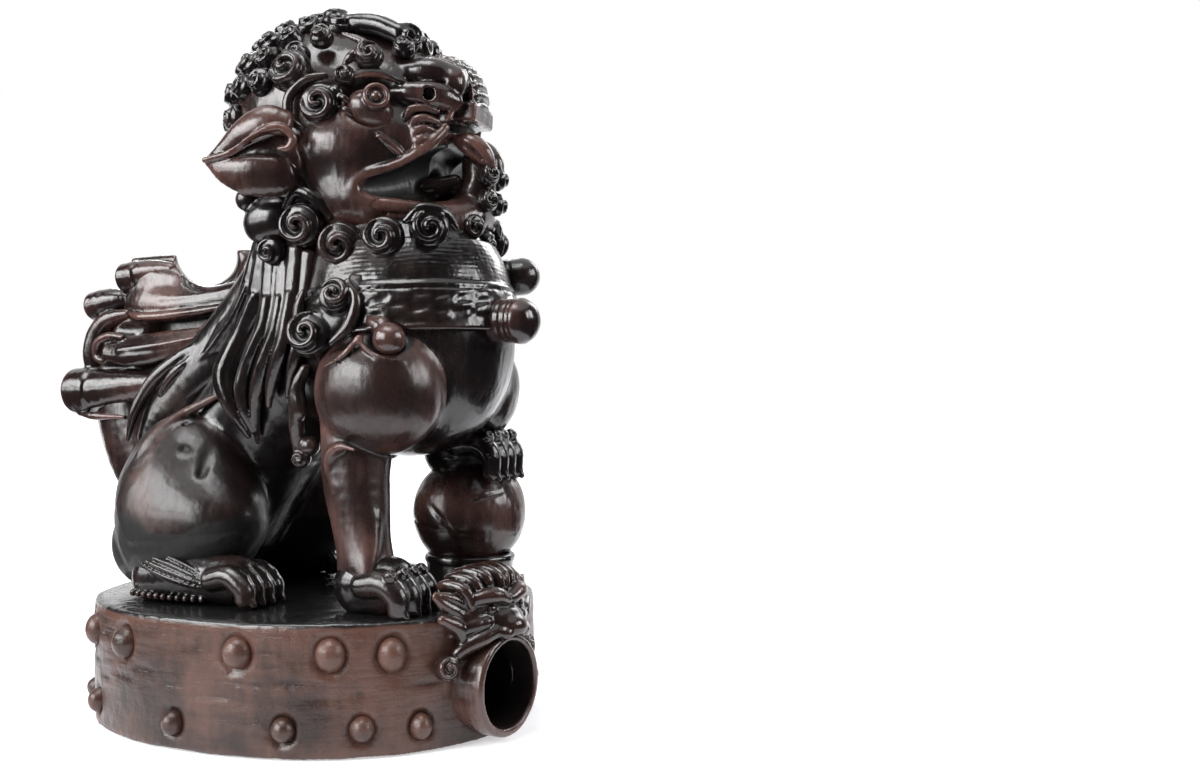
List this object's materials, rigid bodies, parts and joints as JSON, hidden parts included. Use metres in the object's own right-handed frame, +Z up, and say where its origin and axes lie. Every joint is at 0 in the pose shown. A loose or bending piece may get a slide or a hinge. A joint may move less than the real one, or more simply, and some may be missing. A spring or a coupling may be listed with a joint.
{
  "type": "carved lion figurine",
  "caption": "Carved guardian lion sitting with a paw on a ball, on a studded drum base with a beast mask and ring, in dark lacquered wood.",
  "frame": {"origin": "centre of the drum base's underside", "axes": "+X the way the lion looks, +Y the lion's left, +Z up"},
  "size_m": [0.1543, 0.1116, 0.1979],
  "materials": {
    "base_wood": "stained reddish brown, lacquered, turned, semi-gloss",
    "relief_wood": "stained dark brown, carved, lacquered, semi-gloss",
    "figure_wood": "stained very dark brown, carved, lacquered, rubbed on the high places",
    "recess_wood": "stained near black, carved, lacquered",
    "rubbed_wood": "stained dark brown, lacquered, rubbed",
    "bare_wood": "bare hardwood"
  },
  "bodies": {
    "root": {"base_drum": "base_wood", "upper_studs": "base_wood", "lower_studs": "base_wood", "drum_mask": "relief_wood", "drum_ring": "relief_wood", "torso": "figure_wood", "right_haunch": "figure_wood", "left_haunch": "figure_wood", "right_front_leg": "figure_wood", "left_front_leg": "figure_wood", "ball": "figure_wood", "tail_fan": "figure_wood", "head": "figure_wood", "lower_jaw": "figure_wood", "right_ear": "figure_wood", "left_ear": "figure_wood", "right_hind_foot": "recess_wood", "left_hind_foot": "recess_wood", "right_front_paw": "recess_wood", "left_front_paw": "recess_wood", "ball_stand": "recess_wood", "chest_strap": "recess_wood", "right_tail_scrolls": "recess_wood", "left_tail_scrolls": "recess_wood", "right_mane_locks": "recess_wood", "left_mane_locks": "recess_wood", "back_mane_locks": "recess_wood", "tongue": "recess_wood", "crown_curls": "recess_wood", "brow_curls": "recess_wood", "jaw_curls": "recess_wood", "shoulder_curls": "recess_wood", "right_bell": "rubbed_wood", "front_bell": "rubbed_wood", "left_bell": "rubbed_wood", "right_eye": "rubbed_wood", "left_eye": "rubbed_wood", "body_pegs": "bare_wood", "neck_peg": "bare_wood"}
  },
  "joints": []
}
